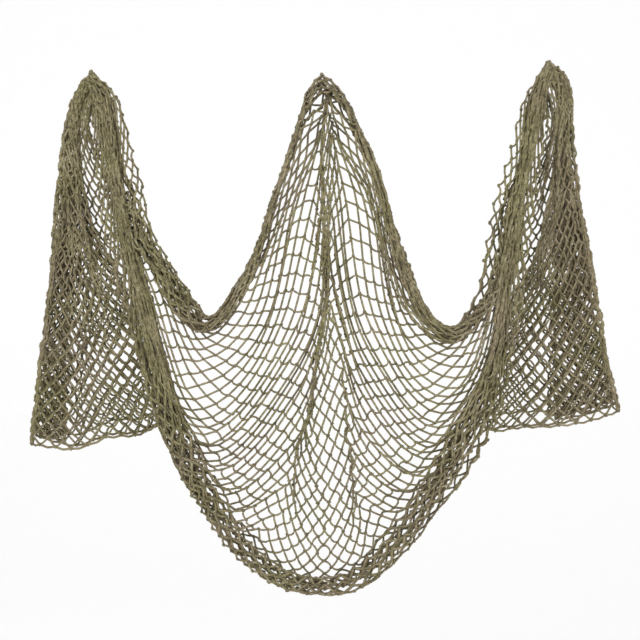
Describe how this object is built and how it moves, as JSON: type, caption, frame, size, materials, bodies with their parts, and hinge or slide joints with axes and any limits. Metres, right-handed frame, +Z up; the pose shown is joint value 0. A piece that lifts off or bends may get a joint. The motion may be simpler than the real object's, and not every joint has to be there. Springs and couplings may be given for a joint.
{
  "type": "hanging fishing net",
  "caption": "Long knotted twine net hung as a swag from three points, gathered at both ends with a tail outside each and its top edge caught up at the centre.",
  "frame": {"origin": "the centre hang point, at the top edge of the net's middle peak", "axes": "+X to the right along the net, +Z up, +Y back, away from the side that is looked at"},
  "size_m": [1.3585, 0.1689, 1.2274],
  "materials": {
    "twine": "matte olive-brown twisted cotton twine"
  },
  "bodies": {
    "root": {"net": "twine"}
  },
  "joints": []
}
